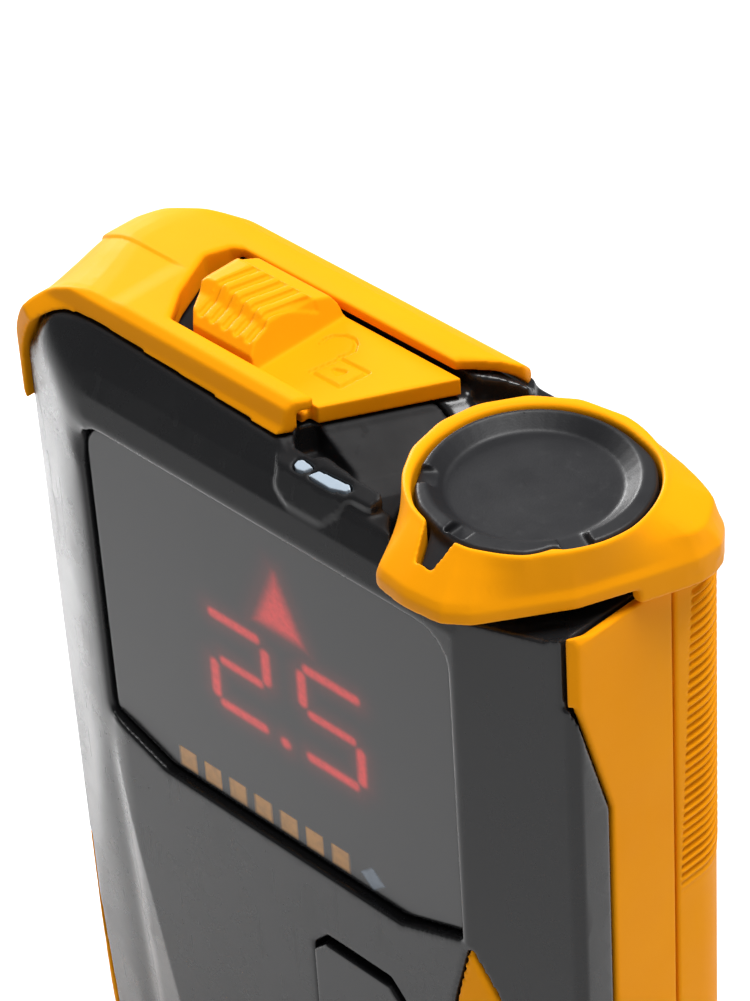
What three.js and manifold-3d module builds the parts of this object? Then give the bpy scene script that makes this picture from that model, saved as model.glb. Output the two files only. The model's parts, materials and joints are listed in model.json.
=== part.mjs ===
// Avalanche transceiver: upright, +Z along the body, display facing -Y, +X to the
// wearer's left. Origin: centre of the flat bottom face. Millimetres.
import * as THREE from 'three';
import { mergeVertices } from 'three/addons/utils/BufferGeometryUtils.js';
import Module from 'manifold-3d';

const wasm = await Module();
wasm.setup();

// ---- driving dimensions -------------------------------------------------------
const HW = 34.2;            // half width of the housing, right side
const HL = 33.8;            // half width of the housing, left side
const YF = -12.4;           // front plane
const YB = 12.3;            // back plane
const H = 120.6;            // height to the top of the cap
const BX = 23.7;            // front plane ends here, bevel begins
const BY = -8.5;            // bevel ends here on the side
const RB = 5.7;             // back corner radius
const RTOP = 5.3;           // rear top edge radius
const RSH = 8.0;            // top-left shoulder radius
const SEAM = 3.6;           // parting plane of the two shells
const GAP = 0.3;            // working gap between touching pieces
const SKIN = 1.2;           // thickness of the yellow overmould
const CAVX = 30.9, CAVZ0 = 14.5, CAVZ1 = 108.9, CAVY0 = -8.9, CAVY1 = 8.3;
const KX = 22.8, KY = -0.8; // knob axis
const KTOP = 120.1;         // top of the knob skirt
const KFLOOR = 118.7;       // dished floor of the knob disc
const WELL = 112.2;         // floor of the knob well
const DECK = 113.6;         // deck height at the right of the cap
const WIN = { x: 23.2, z0: 72.5, z1: 109.7, y: -11.4, t: 1.3 }; // display window
const SL = { y0: -5.6, y1: 5.4, z0: 117.6, z1: 119.4 };         // lock slider plate
const BTN = { x0: 3.9, x1: 15.4, z0: 53, z1: 64.4 };            // option button
const DOOR = { x: 18.7, z0: 12.8, z1: 74.7, y0: 9.9 };          // battery door
const HINGE = { y: 11.0, z: 14.0, r: 0.7 };                     // door hinge pin
const COIN = { z: 70.6 };                                       // coin screw height
const CELL = { r: 5.2, pitch: 10.9, y: 4.2, z0: 19.4, z1: 63.9 };

// ---- solids -------------------------------------------------------------------
function solid(geo) {
  let g = geo.clone();
  g.deleteAttribute('normal');
  g.deleteAttribute('uv');
  g = mergeVertices(g, 1e-4);
  const idx = g.index.array, pos = g.attributes.position.array;
  const tri = [];
  for (let i = 0; i < idx.length; i += 3) {
    const [a, b, c] = [idx[i], idx[i + 1], idx[i + 2]];
    if (a !== b && b !== c && a !== c) tri.push(a, b, c);
  }
  const m = new wasm.Manifold(new wasm.Mesh({
    numProp: 3, vertProperties: new Float32Array(pos), triVerts: new Uint32Array(tri),
  }));
  return m;
}
function shapeOf(pts) {
  const v = pts.map(([x, y]) => new THREE.Vector2(x, y));
  if (THREE.ShapeUtils.area(v) < 0) v.reverse();
  return new THREE.Shape(v);
}
function ext(pts, depth) {
  return new THREE.ExtrudeGeometry(shapeOf(pts), { depth, bevelEnabled: false, curveSegments: 1 });
}
// outline in x,y swept from z0 to z1
function exZ(pts, z0, z1) {
  const g = ext(pts, z1 - z0);
  g.translate(0, 0, z0);
  return solid(g);
}
// outline in y,z swept from x0 to x1
function exX(pts, x0, x1) {
  const g = ext(pts, x1 - x0);
  g.translate(0, 0, x0);
  g.applyMatrix4(new THREE.Matrix4().set(0, 0, 1, 0, 1, 0, 0, 0, 0, 1, 0, 0, 0, 0, 0, 1));
  return solid(g);
}
// outline in x,z swept from y0 to y1
function exY(pts, y0, y1) {
  const g = ext(pts, y1 - y0);
  g.translate(0, 0, -y1);
  g.applyMatrix4(new THREE.Matrix4().set(1, 0, 0, 0, 0, 0, -1, 0, 0, 1, 0, 0, 0, 0, 0, 1));
  return solid(g);
}
function box(x0, x1, y0, y1, z0, z1) {
  const g = new THREE.BoxGeometry(x1 - x0, y1 - y0, z1 - z0);
  g.translate((x0 + x1) / 2, (y0 + y1) / 2, (z0 + z1) / 2);
  return solid(g);
}
function arc(cx, cy, r, a0, a1, n) {
  const out = [];
  for (let i = 0; i <= n; i++) {
    const a = (a0 + ((a1 - a0) * i) / n) * Math.PI / 180;
    out.push([cx + r * Math.cos(a), cy + r * Math.sin(a)]);
  }
  return out;
}
// turned solid about an axis parallel to Z, profile as [r, z]
function lathe(profile, cx, cy, seg = 32) {
  const g = new THREE.LatheGeometry(profile.map(([r, z]) => new THREE.Vector2(r, z)), seg);
  g.applyMatrix4(new THREE.Matrix4().set(1, 0, 0, 0, 0, 0, -1, 0, 0, 1, 0, 0, 0, 0, 0, 1));
  g.translate(cx, cy, 0);
  let m = solid(g);
  if (m.volume() < 0) throw new Error('inverted lathe');
  return m;
}
// cylinder along an axis
function cyl(axis, r, a, b, u, v, seg = 24) {
  const g = new THREE.CylinderGeometry(r, r, b - a, seg);
  if (axis === 'z') { g.rotateX(Math.PI / 2); g.translate(u, v, (a + b) / 2); }
  if (axis === 'x') { g.rotateZ(Math.PI / 2); g.translate((a + b) / 2, u, v); }
  if (axis === 'y') { g.translate(u, (a + b) / 2, v); }
  return solid(g);
}
function inset(pts, d) {
  const v = pts.map(([x, y]) => [x, y]);
  if (THREE.ShapeUtils.area(v.map(([x, y]) => new THREE.Vector2(x, y))) < 0) v.reverse();
  const n = v.length, out = [];
  for (let i = 0; i < n; i++) {
    const p = v[(i + n - 1) % n], q = v[i], r = v[(i + 1) % n];
    const e1 = [q[0] - p[0], q[1] - p[1]], e2 = [r[0] - q[0], r[1] - q[1]];
    const l1 = Math.hypot(...e1), l2 = Math.hypot(...e2);
    const n1 = [-e1[1] / l1, e1[0] / l1], n2 = [-e2[1] / l2, e2[0] / l2];
    const k = 1 + n1[0] * n2[0] + n1[1] * n2[1];
    out.push([q[0] + d * (n1[0] + n2[0]) / k, q[1] + d * (n1[1] + n2[1]) / k]);
  }
  return out;
}

// ---- outer envelope, inset by d -----------------------------------------------
const planPts = [
  [-33.0, -8.8], [-BX, YF], [BX, YF], [33.4, -8.8], [HW, -7.9],
  ...arc(HW - RB, YB - RB, RB, 0, 90, 5), ...arc(-HL + RB, YB - RB, RB, 90, 180, 5), [-HL, -7.9],
];
const sidePts = (lip) => [
  [YF, 2.2], [YF + 2.2, 0], [YB - 2.2, 0], [YB, 2.2], ...arc(YB - RTOP, H - RTOP, RTOP, 0, 90, 5),
  ...lip, [-8.5, 118.2], [-9.5, 116.7], [-10.7, 114.8], [-11.7, 112.6], [-12.3, 110.4],
];
const frontPts = [
  ...arc(-HL + 7, 7, 7, 180, 270, 4), ...arc(HW - 7, 7, 7, 270, 360, 4),
  [HW, H], ...arc(-HL + RSH, H - RSH, RSH, 90, 180, 6),
];
// top-left shoulder: fillet radius along y, tighter in the middle than at front and back
const CAPX = 35.2;          // the cap stands proud of the left side
const SHOULDER = [[-14, 12.7], [-8.4, 12.1], [-5.6, 11.2], [-2.8, 10.0], [-0.6, 8.9], [1.1, 8.2], [4.5, 8.3], [7.7, 9.8], [10, 12.2], [13, 16.0]];
function shoulderCut(d) {
  const n = 10, pos = [], idx = [];
  for (const [y, R] of SHOULDER) {
    const cx = -CAPX + R, cz = H - R, r = R - d;
    const ring = [...arc(cx, cz, r, 90, 180, n).map(([x, z]) => [x, z]), [-52, cz], [-52, 136], [cx, 136]];
    for (const [x, z] of ring) pos.push(x, y, z);
  }
  const m = n + 4, k = SHOULDER.length;
  for (let i = 0; i < k - 1; i++) for (let j = 0; j < m; j++) {
    const a = i * m + j, b = i * m + (j + 1) % m, c = (i + 1) * m + (j + 1) % m, e = (i + 1) * m + j;
    idx.push(a, c, b, a, e, c);
  }
  const cap = (o, flip) => {
    const v = [];
    for (let j = 0; j < m; j++) v.push(new THREE.Vector2(pos[(o * m + j) * 3], pos[(o * m + j) * 3 + 2]));
    const ringSign = Math.sign(THREE.ShapeUtils.area(v));
    for (const [a, b, c] of THREE.ShapeUtils.triangulateShape(v, [])) {
      const same = Math.sign(THREE.ShapeUtils.area([v[a], v[b], v[c]])) === ringSign;
      if (same !== flip) idx.push(o * m + a, o * m + b, o * m + c); else idx.push(o * m + a, o * m + c, o * m + b);
    }
  };
  cap(0, false); cap(k - 1, true);
  let vp = new Float32Array(pos), tri = new Uint32Array(idx);
  let g = new wasm.Manifold(new wasm.Mesh({ numProp: 3, vertProperties: vp, triVerts: tri }));
  if (g.volume() < 0) {
    for (let i = 0; i < tri.length; i += 3) { const q = tri[i]; tri[i] = tri[i + 1]; tri[i + 1] = q; }
    g = new wasm.Manifold(new wasm.Mesh({ numProp: 3, vertProperties: vp, triVerts: tri }));
  }
  return g;
}
const FACET = { a: [-BX, YF, 75], n: new THREE.Vector3(-130.3, -571.1, -25.7).normalize() };
function facetCut(side, d) {
  const n = FACET.n.clone(); const a = new THREE.Vector3(...FACET.a);
  if (side > 0) { n.x *= -1; a.x *= -1; }
  const g = new THREE.BoxGeometry(160, 160, 20);
  g.applyQuaternion(new THREE.Quaternion().setFromUnitVectors(new THREE.Vector3(0, 0, 1), n));
  const c = a.clone().addScaledVector(n, 10 - d);
  g.translate(c.x, c.y, c.z);
  return solid(g);
}
// rounded rear-left top corner: planes tangent to a ball
const BALL = { c: new THREE.Vector3(-26.7, 4.0, 112.2), r: 8.4 };
function cornerCuts(d) {
  let all = null;
  for (const v of [[-1, 1, 1], [-1, 1, 0.35], [-0.35, 1, 1], [-1, 0.35, 1], [-0.75, 1, 1.7], [-1.7, 1, 0.8], [-0.8, 1.7, 1]]) {
    const n = new THREE.Vector3(...v).normalize();
    const g = new THREE.BoxGeometry(60, 60, 20);
    g.applyQuaternion(new THREE.Quaternion().setFromUnitVectors(new THREE.Vector3(0, 0, 1), n));
    const c = BALL.c.clone().addScaledVector(n, BALL.r + 10 - d);
    g.translate(c.x, c.y, c.z);
    const m = solid(g);
    all = all ? all.add(m) : m;
  }
  return all;
}
function envelope(d) {
  let e = exZ(inset(planPts, d), -1, 130)
    .intersect(exX(inset(sidePts(d < 0.5 ? [[-7.4, H], [-8.2, 119.9]] : [[-8.3, H]]), d), -50, 50))
    .intersect(exY(inset(frontPts, d), -30, 30));
  // the lower front flat narrows towards the bottom
  return e.subtract(facetCut(-1, d)).subtract(facetCut(1, d)).subtract(cornerCuts(d));
}
const E0 = envelope(0.001);
const capPlan = [
  [-34.4, -8.9], [-BX, YF], [BX, YF], [33.4, -8.8], [HW, -7.9],
  ...arc(HW - RB, YB - RB, RB, 0, 90, 5), ...arc(-CAPX + 8, YB - 8, 8, 90, 180, 7), [-CAPX, -7.9],
];
const E0c = exZ(capPlan, -1, 130)
  .intersect(exX(sidePts([[-7.4, H], [-8.2, 119.9]]), -50, 50))
  .intersect(exY([[-33.6, 103], [HW, 103], [HW, H], [-36, H], [-36, 108.4], [-CAPX, 107.2], [-34.7, 105.7], [-33.9, 104.6]], -30, 30))
  .subtract(shoulderCut(0)).subtract(cornerCuts(0));
const E1 = envelope(SKIN).subtract(shoulderCut(SKIN));
const E1g = envelope(SKIN + GAP).subtract(shoulderCut(SKIN + GAP));

// ---- yellow regions, grown by g -----------------------------------------------
function curve(pts, n) {    // smooth open line through the points
  const c = new THREE.SplineCurve(pts.map(([x, y]) => new THREE.Vector2(x, y)));
  return c.getPoints(n * (pts.length - 1)).map((v) => [v.x, v.y]);
}
function capRegion(g) {
  const arch = curve([[-22, 118.1 - g], [-25.2, 118.0 - g], [-28.0 - g * 0.2, 117.35 - g], [-30.9 + g * 0.8, 115.2 - g], [-33.0 + g, 111.9 - g * 0.3],
    [-33.7 + g, 108.6], [-33.85 + g, 104.8 - g]], 3);
  const prof = exY([[40, 117.2 - g], [1, 117.3 - g], ...arch, [-40, 104.8 - g], [-40, 130], [40, 130]], -30, 30);
  const plan = exZ([
    [-50, -30], [0.2 + g, -30], [0.2 + g, -9.2], [2.0 + g, -6.4], [2.0 + g, -5.95], [7.4 + g, 5.75], [7.6 + g, 6.1], [12.4 + g, 9.4], [11.8 + g, 10.6], [10.4 + g, 12.0], [9.9 + g, 30], [-50, 30],
  ], 90, 130);
  return prof.intersect(plan);
}
function rightRegion(g) {
  const plan = exZ([[33.3 - g, -30], [50, -30], [50, 30], [25.5 - g, 30], [25.5 - g, 9], [31, 4], [33.3 - g, 2]], -5, 130);
  const side = exX([[-30, 130], [-30, 105.6 - g], [-8.2 - g, 105.6 - g], [-4.3 - g, 92.2], [-4.5 - g, 9.4 - g], [30, 9.4 - g], [30, 130]], -50, 50);
  return plan.intersect(side);
}
function leftRegion(g) {
  const plan = exZ([[-32.9 + g, -30], [-50, -30], [-50, 30], [-25.1 + g, 30], [-25.1 + g, 9], [-30.6, 4], [-32.9 + g, 2]], -5, 130);
  const side = exX([[-30, 52 + g], [-8.2 - g, 52 + g], [-4.3 - g, 66], [-4.3 - g, 104.2 + g], [30, 104.2 + g], [30, 12.4 - g], [-30, 12.4 - g]], -50, 50);
  return plan.intersect(side);
}
function bumperRegion(g) {
  const low = box(-16.3 - g, 60, -30, 30, -5, 8.8 + g);
  const arm = exY([[24.0, 75.0 + g], [22.3 - g, 68], [17.1 - g, 41.6], [14 - g, 25], [14 - g, 5], [50, 5], [50, 34.0], [34.0 + g, 50], [26.3 + g, 69.6]], -30, -4.9 + g);
  return low.add(arm);
}
// lug corner at the bottom
const lugBlock = (g) => box(-50, -16.6 + g, -30, 30, -5, 12.0 + g);

const capSkin = E0c.subtract(E1).intersect(capRegion(0));
const rightSkin = E0.subtract(E1).intersect(rightRegion(0));
const leftSkin = E0.subtract(E1).intersect(leftRegion(0));
const bumpSkin = E0.subtract(E1).intersect(bumperRegion(0)).subtract(rightRegion(GAP)).subtract(lugBlock(GAP));

// ---- knob well and deck --------------------------------------------------------
function diag(pts, t0, t1) {   // profile [s, z], s measured square to the slider's end line
  const g = ext(pts, t1 - t0);
  g.translate(0, 0, -t1);
  g.applyMatrix4(new THREE.Matrix4().set(1, 0, 0, 0, 0, 0, -1, 0, 0, 1, 0, 0, 0, 0, 0, 1));
  g.rotateZ(-29.2 * Math.PI / 180);
  return solid(g);
}
const deckMain = diag([[4.6, 130], [4.6, 117.3], [5.2, 116.8], [9.3, 114.3], [11.2, DECK], [80, DECK], [80, 130]], -60, 60)
  .intersect(box(-50, 50, -7.4, 6.0, 100, 130));
const deckFront = diag([[4.6, 130], [4.6, 118.0], [5.2, 117.2], [8.6, 116.0], [12.0, 115.4], [80, 115.2], [80, 130]], -60, 60)
  .intersect(box(-50, 50, -30, -7.39, 100, 130));
const deckRear = exZ([[7.6, 5.9], [7.9, 6.15], [12.7, 9.4], [12.1, 10.6], [10.7, 12.0], [10.2, 30], [50, 30], [50, 5.9]], 116.0, 130)
  .add(diag([[7.6, 130], [7.6, 116.0], [8.4, 115.7], [12.2, DECK + 0.4], [13.4, DECK], [80, DECK], [80, 130]], -60, 60).intersect(box(14.2, 60, 5.9, 30, 100, 130)));
function sector(r, a0, a1, z0, z1) {
  return exZ([[KX, KY], ...arc(KX, KY, r, a0, a1, 12)], z0, z1);
}
const wellCore = cyl('z', 12.2, WELL, 130, KX, KY, 40);
const wellRear = sector(17.6, -12, 124, WELL, 130);
const cone = lathe([[0, 112.2], [12.2, 112.2], [14.8, 114.0], [40, 114.0], [40, 130], [0, 130]], KX, KY, 40)
  .intersect(exZ([[KX, KY], [KX - 22, KY - 40], [KX + 60, KY - 40], [KX + 60, KY - 12.5]], 100, 130));
const wellCut = wellCore.add(wellRear).add(cone).add(deckMain).add(deckFront).add(deckRear);

// ---- black outer shape -----------------------------------------------------------
const yellowRoom = capRegion(GAP).add(rightRegion(GAP)).add(leftRegion(GAP)).add(bumperRegion(GAP)).subtract(E1g);
let black = E0.subtract(yellowRoom).subtract(lugBlock(GAP));
// front boss that carries the status light
const bossTop = 117.25;
let boss = exY([[0.95, bossTop], [1.3, 115.2], [2.4, 114.0], [3.9, 113.3], [7.9, 113.3], [9.0, 114.3], [10.2, 115.8], [12.9, 115.8], [12.9, bossTop]], -11.9, -7.6)
  .intersect(exX([[-11.75, 113.0], [-10.45, 116.3], [-8.4, 117.22], [-7.8, 117.22], [-7.8, 113.0]], -5, 20))
  .intersect(exZ([[0.9, -7.8], [0.9, -9.3], [1.9, -10.7], [2.6, -12.5], [8.6, -12.5], [10.1, -10.05], [12.4, -9.95], [12.9, -8.9], [12.6, -8.5], [9.3, -8.35], [5.4, -7.9]], 110, 120));
// groove between the boss and the deck
const groove = exZ([[1.5, -5.3], [3.0, -5.6], [6.7, -6.0], [12.6, -7.0], [13.4, -8.3], [12.75, -8.5], [9.3, -8.35], [5.4, -7.9], [4.5, -8.6], [2.3, -8.6], [1.7, -8.2], [0.7, -6.9]], 114.2, 130)
  .subtract(exX([[-8.7, 113], [-7.3, 113], [-8.3, 114.9], [-8.7, 115.2]], 0, 20));
// channel that carries the slider, and the slot for its tongue
const channel = exZ([[-18.1, -6.8], [-19.8, -3.1], [-22.5, 2.8], [-21.5, 5.9], [-20.4, 6.7], [12.5, 6.6], [4, -6.8]], 117.3, 130);
const tongueSlot = box(-6.2, 3.6, -1.9, 1.9, 100, 118);
black = black.subtract(wellCut).add(boss).subtract(groove).subtract(channel).subtract(tongueSlot);

// ---- cavity, seal ------------------------------------------------------------------
function cavOutline(o) {
  const x = CAVX + o, z0 = CAVZ0 - o, z1 = CAVZ1 + o, r = 3 + o;
  return [...arc(x - r, z0 + r, r, 270, 360, 3), ...arc(x - r, z1 - r, r, 0, 90, 3),
    ...arc(-x + r, z1 - r, r, 90, 180, 3), ...arc(-x + r, z0 + r, r, 180, 270, 3)];
}
const cavPlan = [[-CAVX, -5.0], [-22.6, CAVY0], [22.6, CAVY0], [CAVX, -5.0], [CAVX, CAVY1 - 2], [CAVX - 2, CAVY1], [-CAVX + 2, CAVY1], [-CAVX, CAVY1 - 2]];
const cavity = exY(cavOutline(0), -20, 20).intersect(exZ(cavPlan, 0, 125));
const rabbet = exY(cavOutline(1.25), SEAM - 1.1, SEAM + 1.1);
const sealRing = exY(cavOutline(1.0), SEAM - 0.8, SEAM + 0.8).subtract(exY(cavOutline(0.15), -20, 20));

// ---- screws that hold the shells ---------------------------------------------------
const SCREWS = [[-22.4, 100], [22.4, 71.8], [-22.4, 21], [22.4, 21]];
const bossF = SCREWS.map(([x, z]) => cyl('y', 3.2, -9.2, SEAM - 0.15, x, z, 16)).reduce((a, b) => a.add(b));
const bossR = SCREWS.map(([x, z]) => cyl('y', 3.2, SEAM + 0.15, 10.5, x, z, 16)).reduce((a, b) => a.add(b));
const screwHole = SCREWS.map(([x, z]) => cyl('y', 1.55, -6, 20, x, z, 12).add(cyl('y', 2.7, 9.4, 20, x, z, 16))).reduce((a, b) => a.add(b));

// ---- front shell ----------------------------------------------------------------------
const winPts = (o) => [[-WIN.x - o, 75.4 - o * 0.4], [-15.4 - o * 0.3, WIN.z0 - o], [15.4 + o * 0.3, WIN.z0 - o], [WIN.x + o, 75.4 - o * 0.4],
  ...arc(WIN.x - 3.6, WIN.z1 - 3.6, 3.6 + o, 0, 90, 4), ...arc(-WIN.x + 3.6, WIN.z1 - 3.6, 3.6 + o, 90, 180, 4)];
const btnPts = (o) => [[BTN.x0 - o, 62.8], [BTN.x0 + 1.6, BTN.z1 + o], [BTN.x1 - 1.8, BTN.z1 + o], [BTN.x1 + o, 62.4],
  [BTN.x1 + o, BTN.z0 + 2], [BTN.x1 - 2, BTN.z0 - o], [BTN.x0 + 2, BTN.z0 - o], [BTN.x0 - o, BTN.z0 + 2]];
let front = black.intersect(box(-60, 60, -30, SEAM - 0.15, -5, 140)).subtract(cavity).subtract(rabbet);
front = front.add(bossF.intersect(exY(cavOutline(0.6), -30, 30)).intersect(E1g));
front = front.subtract(exY(winPts(0), -20, WIN.y + WIN.t + GAP));
front = front.subtract(box(-20, 20, -20, -5, 78, 106));
front = front.subtract(exY(btnPts(GAP), -20, -5));
for (let i = 0; i < 5; i++) front = front.subtract(box(-6.5, 6.5, -20, -5, 24.4 + i * 2.6, 25.8 + i * 2.6));
front = front.subtract(cyl('z', 2.7, 100, 125, KX, KY, 20)).subtract(cyl('z', 3.9, 110.6, 125, KX, KY, 24));
// windows for the status light
const lightCut = (pts, o, z0) => exZ(pts, z0, 125).intersect(exX([[-13, 100], [-13, 114.95 + o], [-7.9, 117.3 + o], [-7.9, 100]], -5, 20));
const lightS = [[3.45, -9.95], [3.45, -9.5], [3.85, -9.2], [5.2, -9.35], [4.7, -10.0], [3.95, -10.15]];
const lightL = [[5.35, -10.1], [5.95, -9.35], [9.4, -9.15], [9.75, -9.4], [9.5, -9.75], [7.95, -10.15]];
front = front.subtract(exZ(inset(lightS, -0.16), 114.6, 125)).subtract(exZ(inset(lightL, -0.16), 114.6, 125));
front = front.subtract(screwHole);

// ---- rear shell -------------------------------------------------------------------------
let rear = black.intersect(box(-60, 60, SEAM + 0.15, 30, -5, 140)).subtract(cavity).subtract(rabbet);
rear = rear.add(bossR.intersect(exY(cavOutline(0.6), -30, 30)).intersect(E1g));
const bay = box(-18.9, 18.9, -2.7, 10.5, 15.6, 67.4);
const coinBoss = cyl('y', 3.6, SEAM + 0.5, 9.5, 0, COIN.z, 20);
rear = rear.add(bay).add(coinBoss);
const doorPts = (o) => {
  const x = DOOR.x + o, r = 3;
  return [...arc(x - r, DOOR.z0 - o + r, r, 270, 360, 3), ...arc(x - r, DOOR.z1 + o - r, r, 0, 90, 3),
    ...arc(-x + r, DOOR.z1 + o - r, r, 90, 180, 3), ...arc(-x + r, DOOR.z0 - o + r, r, 180, 270, 3)];
};
rear = rear.subtract(exY(doorPts(GAP), DOOR.y0 - GAP, 30));
rear = rear.subtract(box(-16.4, 16.4, -1.2, 20, 17.9, 65.4));
const sealDoor = box(-18.1, 18.1, 8.9, 9.6, 16.5, 66.8).subtract(box(-17.2, 17.2, 8, 11, 17.4, 65.9));
rear = rear.subtract(box(-18.4, 18.4, 8.6, 9.7, 16.2, 67.1).subtract(box(-16.9, 16.9, 8, 11, 17.7, 65.6)));
rear = rear.subtract(cyl('x', 2.1, -DOOR.x - GAP, DOOR.x + GAP, HINGE.y, HINGE.z, 24));
rear = rear.subtract(cyl('x', 1.0, -21.6, 21.6, HINGE.y, HINGE.z, 12));
rear = rear.subtract(cyl('y', 2.0, 5.8, 20, 0, COIN.z, 20)).subtract(screwHole);

// ---- yellow pieces ------------------------------------------------------------------------
const capSlot = exZ([[-15.9, -5.9], [-18.3, -2.55], [-20.8, 2.75], [-19.9, 5.1], [-18.9, 5.7], [20, 5.7], [20, -5.9]], 115, 130);
// wall of the slot at its closed end
const curb = exZ([[-16.6, -5.3], [-18.3, -2.55], [-20.8, 2.75], [-19.9, 5.1], [-19.3, 5.5], [-20.3, 6.2], [-21.2, 5.6], [-22.1, 2.8], [-19.4, -3.0], [-17.7, -5.5]], 117.7, 119.6);
let cap = capSkin.add(curb).subtract(capSlot).subtract(sector(17.9, -12, 124, WELL - 1, 130)).subtract(cyl('z', 12.5, 100, 130, KX, KY, 40));
const wellYellow = wellRear.add(cone).add(wellCore).add(exZ([[10, -30], [50, -30], [50, 30], [10, 30]], 114.0, 130));
const gripTopCut = exY([[33.4, 114.2], [34.3, 111.7], [40, 111.7], [40, 114.2]], -30, 30);
const rightAll = rightSkin.subtract(wellYellow).subtract(gripTopCut);
const gripRF = rightAll.intersect(box(-60, 60, -30, SEAM - 0.15, -5, 140));
const gripRR = rightAll.intersect(box(-60, 60, SEAM + 0.15, 30, -5, 140));
const gripL = leftSkin;
const bumper = bumpSkin;
let lug = E0.intersect(lugBlock(0)).subtract(box(-28.6, -20.4, -30, 30, 4.0, 9.0));

// ---- slider ----------------------------------------------------------------------------------
const sliderPlan = [[-13.4, SL.y0], [-16.9, 0.1], [-15.6, SL.y1], [8.4, SL.y1], [2.1, SL.y0]];
let slider = exZ(sliderPlan, SL.z0, SL.z1);
slider = slider.add(exZ([[-12.6, -6.5], [-12.6, 6.3], [1.0, 6.3], [1.0, -6.5]], SL.z0, 118.5));
// thumb grip: humped block with sloping flanks and ribs
const humpSide = exY([[-17.2, 118.9], [-16.9, 120.6], [-16.2, 122.3], [-15.2, 123.0], [-13.6, 123.2], [-7.3, 122.6], [-6.9, 122.3], [-5.7, 119.4], [-5.6, 118.9]], -6, 6);
const humpEnd = exX([[-5.6, 118.9], [-5.35, 120.6], [-4.6, 121.5], [-2.9, 122.0], [-1.7, 123.3], [1.7, 123.3], [2.9, 122.0], [4.6, 121.5], [5.15, 120.6], [5.4, 118.9]], -20, 0);
const humpPlan = exZ([[-13.4, SL.y0], [-14.5, -4.4], [-16.5, -0.6], [-16.6, 1.6], [-15.6, SL.y1], [-5.5, SL.y1], [-5.5, SL.y0]], 118, 125);
let hump = humpSide.intersect(humpEnd).intersect(humpPlan);
// ribs that fold over the front edge of the grip
const humpCore = hump.translate([0, 0, -0.36]);
for (let i = 0; i < 5; i++) {
  const x = -14.0 + i * 1.5;
  const bar = exZ([[x + 0.35, -4.7], [x, -1.65], [x + 1.0, 2.9], [x + 1.75, 2.9], [x + 0.75, -1.65], [x + 1.05, -4.7]], 120.6, 125);
  hump = hump.subtract(bar.subtract(humpCore));
}
slider = slider.add(hump);
slider = slider.add(box(-2.3, 3.2, -1.5, 1.5, 112.0, 118.5));

// ---- knob --------------------------------------------------------------------------------------
const knobOutline = [[-4.5, -14.4], [-1.0, -14.9], [2.9, -14.5], [5.1, -12.9], [10.0, -5.7], [12.4, 0.2], [14.1, 4.8], [14.1, 7.4], [12.4, 9.7],
  [9.6, 10.5], [5.2, 10.6], [0.6, 11.15], [-4.2, 10.35], [-8.0, 7.8], [-10.5, 3.9], [-11.15, 0], [-10.35, -4.2], [-8.1, -7.9]];
function rayRadius(phi) {
  const c = Math.cos(phi), s = Math.sin(phi);
  let best = 0;
  for (let i = 0; i < knobOutline.length; i++) {
    const a = knobOutline[i], b = knobOutline[(i + 1) % knobOutline.length];
    const ex = b[0] - a[0], ey = b[1] - a[1];
    const det = c * -ey + s * ex;
    if (Math.abs(det) < 1e-9) continue;
    const t = (a[0] * -ey + a[1] * ex) / det;
    const u = (c * a[1] - s * a[0]) / (s * ex - c * ey);
    if (t > 0 && u >= -1e-6 && u <= 1 + 1e-6) best = Math.max(best, t);
  }
  return best;
}
function ringLoft(levels, seg) {   // levels: functions (phi) -> [r, z]; last joins first
  const pos = [], idx = [], m = levels.length;
  for (let j = 0; j < seg; j++) {
    const phi = (j / seg) * 2 * Math.PI;
    for (const f of levels) {
      const [r, z] = f(phi);
      pos.push(KX + r * Math.cos(phi), KY + r * Math.sin(phi), z);
    }
  }
  for (let j = 0; j < seg; j++) {
    const k = (j + 1) % seg;
    for (let i = 0; i < m; i++) {
      const n = (i + 1) % m;
      const a = j * m + i, b = j * m + n, c = k * m + n, d = k * m + i;
      idx.push(a, d, c, a, c, b);
    }
  }
  const g = new THREE.BufferGeometry();
  g.setAttribute('position', new THREE.Float32BufferAttribute(pos, 3));
  g.setIndex(idx);
  let s = null;
  const gg = mergeVertices(g, 1e-5);
  const tri = new Uint32Array(gg.index.array), vp = new Float32Array(gg.attributes.position.array);
  s = new wasm.Manifold(new wasm.Mesh({ numProp: 3, vertProperties: vp, triVerts: tri }));
  if (s.volume() < 0) {
    const t2 = new Uint32Array(tri);
    for (let i = 0; i < t2.length; i += 3) { const q = t2[i]; t2[i] = t2[i + 1]; t2[i + 1] = q; }
    s = new wasm.Manifold(new wasm.Mesh({ numProp: 3, vertProperties: vp, triVerts: t2 }));
  }
  return s;
}
const RIN = [[-180, 9.5], [-154, 9.75], [-129, 10.2], [-115, 10.45], [-105, 10.4], [-76, 10.9], [-68, 10.75], [-50, 10.7], [-42, 10.3], [-38, 10.0], [-35.5, 10.2],
  [-33.5, 10.35], [-30, 10.4], [-23, 10.5], [-20, 10.55], [-17, 10.6], [0, 10.75], [15, 10.65], [34, 10.6], [53, 10.4], [70, 9.85], [88, 9.65], [108, 9.6], [132, 9.5], [180, 9.5]];
function rin(phi) {
  let a = (phi * 180) / Math.PI;
  while (a > 180) a -= 360;
  while (a < -180) a += 360;
  for (let i = 0; i < RIN.length - 1; i++) if (a <= RIN[i + 1][0]) {
    const t = (a - RIN[i][0]) / (RIN[i + 1][0] - RIN[i][0]);
    return RIN[i][1] + t * (RIN[i + 1][1] - RIN[i][1]);
  }
  return 9.5;
}
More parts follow.
